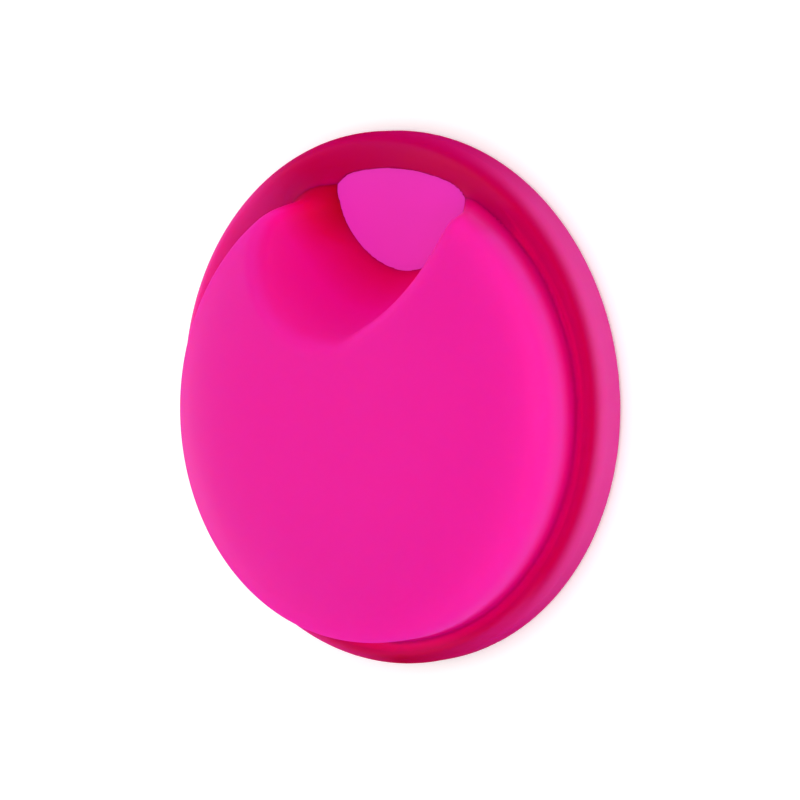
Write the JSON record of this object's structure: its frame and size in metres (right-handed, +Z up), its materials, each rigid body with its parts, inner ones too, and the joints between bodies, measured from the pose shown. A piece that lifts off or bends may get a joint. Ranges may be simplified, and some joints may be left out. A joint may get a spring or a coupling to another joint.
{
  "type": "silicone menstrual disc",
  "caption": "Soft silicone disc with a thick round rim, a shallow hollow bowl and a finger notch for removal; the bowl's top gives when pressed.",
  "frame": {"origin": "centre of the mouth face, on the surface the rim rests on", "axes": "+Z up out of the bowl's outside, +Y toward the finger notch, +X to the right of the notch"},
  "size_m": [0.07, 0.07, 0.0161],
  "materials": {
    "rim": "matte silicone",
    "bowl": "matte silicone",
    "scoop": "matte silicone",
    "web": "thin, slightly see-through silicone"
  },
  "bodies": {
    "disc": {"rim_ring": "rim", "bowl_wall": "bowl", "finger_scoop": "scoop", "notch_web": "web"},
    "crown": {"bowl_crown": "bowl"}
  },
  "joints": [
    {"name": "crown_press", "type": "slide", "parent": "disc", "child": "crown", "axis": [0, 0, -1], "range_m": [0, 0.004], "stiffness_N_per_m": 400}
  ]
}
